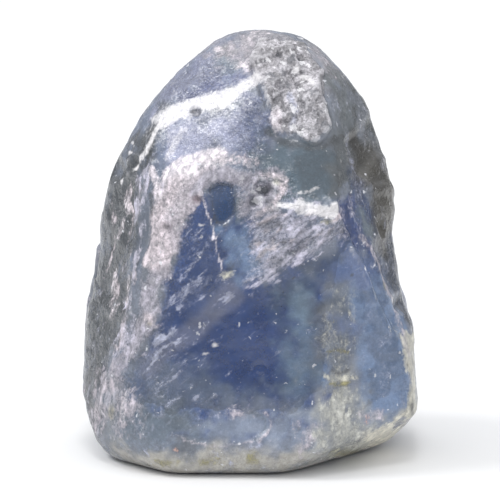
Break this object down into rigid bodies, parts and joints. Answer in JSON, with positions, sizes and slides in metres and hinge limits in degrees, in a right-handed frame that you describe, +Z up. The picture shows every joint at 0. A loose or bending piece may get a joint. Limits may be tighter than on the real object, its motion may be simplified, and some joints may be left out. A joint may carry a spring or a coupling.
{
  "type": "rough sapphire crystal",
  "caption": "Rough blue sapphire: a worn, frosted crystal with a clear blue window, sugary crust and pits, standing on its flat broken base.",
  "frame": {"origin": "middle of the flat broken base that the stone stands on", "axes": "+Z up along the crystal's height, -Y towards the side with the clear blue window, +X to that side's right"},
  "size_m": [0.0136, 0.0108, 0.0168],
  "materials": {
    "sapphire": "satin"
  },
  "bodies": {
    "root": {"sapphire": "sapphire"}
  },
  "joints": []
}
